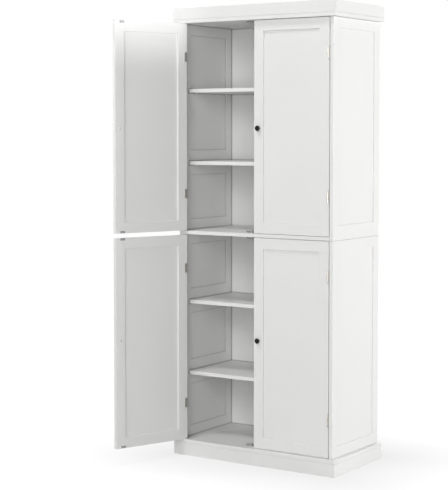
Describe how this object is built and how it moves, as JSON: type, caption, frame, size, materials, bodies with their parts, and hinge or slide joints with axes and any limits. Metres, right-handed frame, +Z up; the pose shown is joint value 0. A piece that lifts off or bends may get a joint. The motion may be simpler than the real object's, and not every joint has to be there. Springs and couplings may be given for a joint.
{
  "type": "pantry cabinet",
  "caption": "Tall white pantry cabinet of two stacked sections, with recessed-panel doors on butt hinges, round knobs, inner shelves, a crown and a plinth.",
  "frame": {"origin": "centre of the plinth's footprint, on the floor", "axes": "+Z is up, the doors face -Y, and +X is to the right of someone facing the doors"},
  "size_m": [0.8387, 0.7043, 1.83],
  "materials": {
    "white_paint": "satin white paint on fibreboard",
    "black_metal": "satin black lacquer",
    "satin_nickel": "satin nickel plate",
    "grey_plastic": "moulded grey plastic"
  },
  "bodies": {
    "carcass": {"plinth_front": "white_paint", "plinth_left": "white_paint", "plinth_right": "white_paint", "plinth_back": "white_paint", "plinth_brace": "white_paint", "bottom_panel": "white_paint", "middle_panel": "white_paint", "top_panel": "white_paint", "crown_front": "white_paint", "crown_left": "white_paint", "crown_right": "white_paint", "lower_left_side": "white_paint", "lower_right_side": "white_paint", "upper_left_side": "white_paint", "upper_right_side": "white_paint", "lower_back": "white_paint", "upper_back": "white_paint", "lower_shelf_1": "white_paint", "lower_shelf_2": "white_paint", "upper_shelf_1": "white_paint", "upper_shelf_2": "white_paint", "upper_left_top_catch": "grey_plastic", "upper_left_foot_catch": "grey_plastic", "upper_right_top_catch": "grey_plastic", "upper_right_foot_catch": "grey_plastic", "lower_left_top_catch": "grey_plastic", "lower_left_foot_catch": "grey_plastic", "lower_right_top_catch": "grey_plastic", "lower_right_foot_catch": "grey_plastic", "upper_left_door_top_hinge_frame_leaf": "satin_nickel", "upper_left_door_foot_hinge_frame_leaf": "satin_nickel", "upper_right_door_top_hinge_frame_leaf": "satin_nickel", "upper_right_door_foot_hinge_frame_leaf": "satin_nickel", "lower_left_door_top_hinge_frame_leaf": "satin_nickel", "lower_left_door_foot_hinge_frame_leaf": "satin_nickel", "lower_right_door_top_hinge_frame_leaf": "satin_nickel", "lower_right_door_foot_hinge_frame_leaf": "satin_nickel"},
    "upper_left_door": {"upper_left_door_frame": "white_paint", "upper_left_door_panel": "white_paint", "upper_left_door_knob": "black_metal", "upper_left_door_top_hinge_door_leaf": "satin_nickel", "upper_left_door_foot_hinge_door_leaf": "satin_nickel"},
    "upper_right_door": {"upper_right_door_frame": "white_paint", "upper_right_door_panel": "white_paint", "upper_right_door_knob": "black_metal", "upper_right_door_top_hinge_door_leaf": "satin_nickel", "upper_right_door_foot_hinge_door_leaf": "satin_nickel"},
    "lower_left_door": {"lower_left_door_frame": "white_paint", "lower_left_door_panel": "white_paint", "lower_left_door_knob": "black_metal", "lower_left_door_top_hinge_door_leaf": "satin_nickel", "lower_left_door_foot_hinge_door_leaf": "satin_nickel"},
    "lower_right_door": {"lower_right_door_frame": "white_paint", "lower_right_door_panel": "white_paint", "lower_right_door_knob": "black_metal", "lower_right_door_top_hinge_door_leaf": "satin_nickel", "lower_right_door_foot_hinge_door_leaf": "satin_nickel"}
  },
  "joints": [
    {"name": "upper_left_door_swing", "type": "hinge", "parent": "carcass", "child": "upper_left_door", "pos_m": [-0.3385, -0.1842, 1.3475], "axis": [0, 0, -1], "range_deg": [-110.5, 59.5]},
    {"name": "upper_right_door_swing", "type": "hinge", "parent": "carcass", "child": "upper_right_door", "pos_m": [0.3385, -0.1842, 1.3475], "axis": [0, 0, 1], "range_deg": [0, 170]},
    {"name": "lower_left_door_swing", "type": "hinge", "parent": "carcass", "child": "lower_left_door", "pos_m": [-0.3385, -0.1842, 0.4885], "axis": [0, 0, -1], "range_deg": [-110.5, 59.5]},
    {"name": "lower_right_door_swing", "type": "hinge", "parent": "carcass", "child": "lower_right_door", "pos_m": [0.3385, -0.1842, 0.4885], "axis": [0, 0, 1], "range_deg": [0, 170]}
  ]
}
